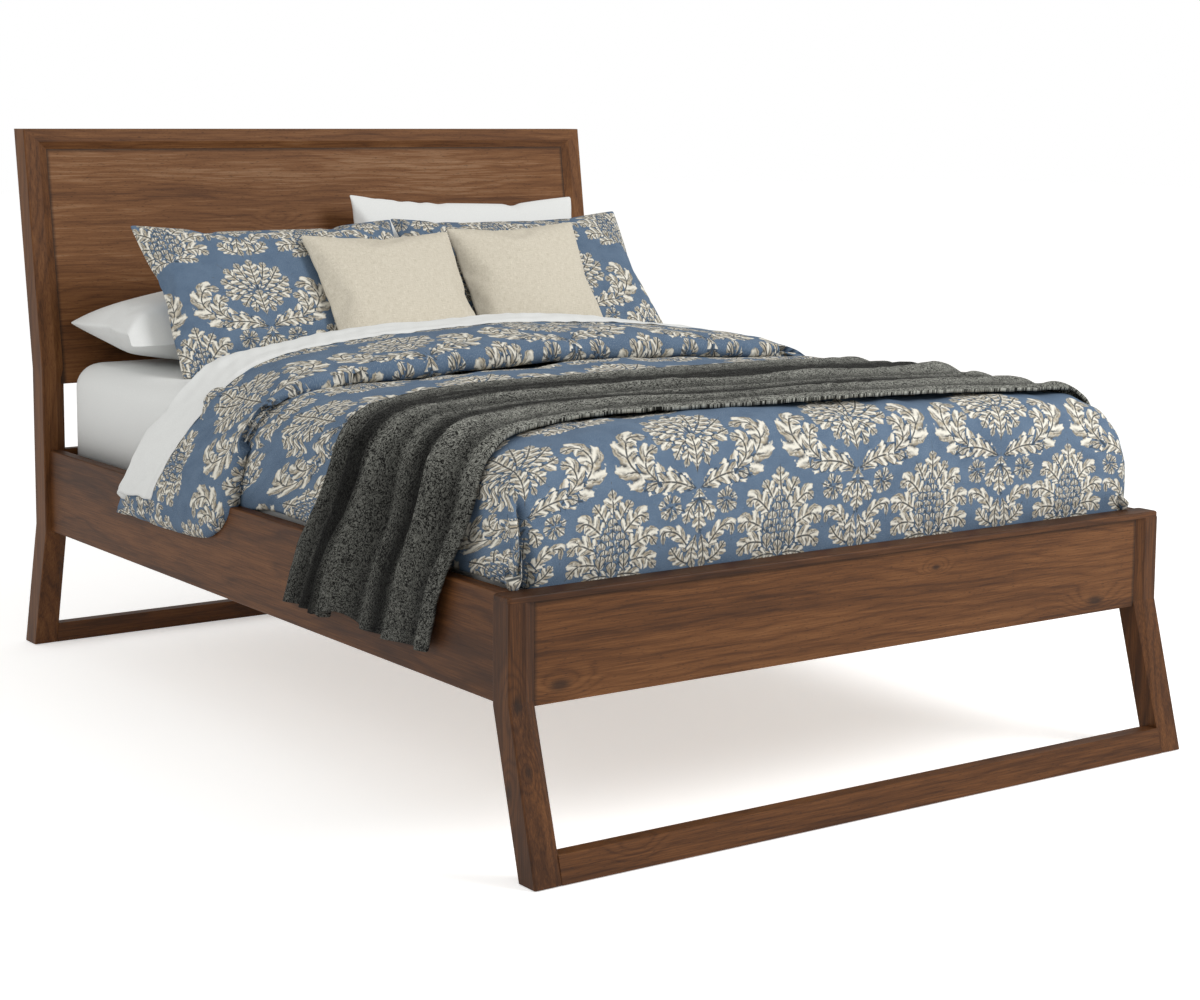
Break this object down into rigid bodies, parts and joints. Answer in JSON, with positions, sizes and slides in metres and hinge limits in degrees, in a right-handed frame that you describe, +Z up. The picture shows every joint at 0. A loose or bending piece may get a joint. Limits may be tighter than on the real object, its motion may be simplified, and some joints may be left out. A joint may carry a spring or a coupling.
{
  "type": "sled bed",
  "caption": "Walnut sled bed with a leaning plank headboard and splayed legs on floor stretchers, dressed with damask duvet, white sheets, shams, cushions, pillows and a grey throw.",
  "frame": {"origin": "middle of the floor under the bed", "axes": "+X across the bed to the right as seen from the foot, +Y from the foot to the head, +Z up"},
  "size_m": [1.702, 2.3429, 1.292],
  "materials": {
    "walnut_frame": "satin",
    "pine_slats": "matte",
    "black_hangers": "satin",
    "zinc_hardware": "satin",
    "felt_glides": "matte",
    "mattress_ticking": "matte",
    "white_cotton": "matte",
    "damask_cotton": "matte",
    "charcoal_throw": "matte",
    "linen_cushion": "matte"
  },
  "bodies": {
    "bed": {"head_post_left": "walnut_frame", "head_post_right": "walnut_frame", "headboard_top_rail": "walnut_frame", "headboard_board_1": "walnut_frame", "headboard_board_2": "walnut_frame", "headboard_board_3": "walnut_frame", "headboard_board_4": "walnut_frame", "lower_head_rail": "walnut_frame", "head_stretcher": "walnut_frame", "foot_post_left": "walnut_frame", "foot_post_right": "walnut_frame", "footboard_panel": "walnut_frame", "footboard_cap": "walnut_frame", "foot_stretcher": "walnut_frame", "side_rail_left": "walnut_frame", "side_rail_right": "walnut_frame", "ledger_left": "pine_slats", "ledger_right": "pine_slats", "slat_01": "pine_slats", "slat_02": "pine_slats", "slat_03": "pine_slats", "slat_04": "pine_slats", "slat_05": "pine_slats", "slat_06": "pine_slats", "slat_07": "pine_slats", "slat_08": "pine_slats", "slat_09": "pine_slats", "slat_10": "pine_slats", "slat_11": "pine_slats", "slat_12": "pine_slats", "slat_13": "pine_slats", "centre_beam": "pine_slats", "beam_hangers": "black_hangers", "centre_leg": "pine_slats", "threaded_insert": "zinc_hardware", "floor_glides": "felt_glides", "bed_hooks": "zinc_hardware", "hook_receivers": "zinc_hardware", "hook_screws": "zinc_hardware", "ledger_screws": "zinc_hardware", "slat_screws": "zinc_hardware", "hanger_screws": "zinc_hardware", "mattress": "mattress_ticking", "fitted_sheet": "white_cotton", "flat_sheet": "white_cotton", "duvet": "damask_cotton", "throw_blanket": "charcoal_throw", "pillow_left": "white_cotton", "pillow_right": "white_cotton", "sham_left": "damask_cotton", "sham_right": "damask_cotton", "cushion_left": "linen_cushion", "cushion_right": "linen_cushion"},
    "foot_screw": {"levelling_foot": "black_hangers"}
  },
  "joints": [
    {"name": "levelling", "type": "slide", "parent": "bed", "child": "foot_screw", "axis": [0, 0, 1], "range_m": [-0.008, 0.012]}
  ]
}
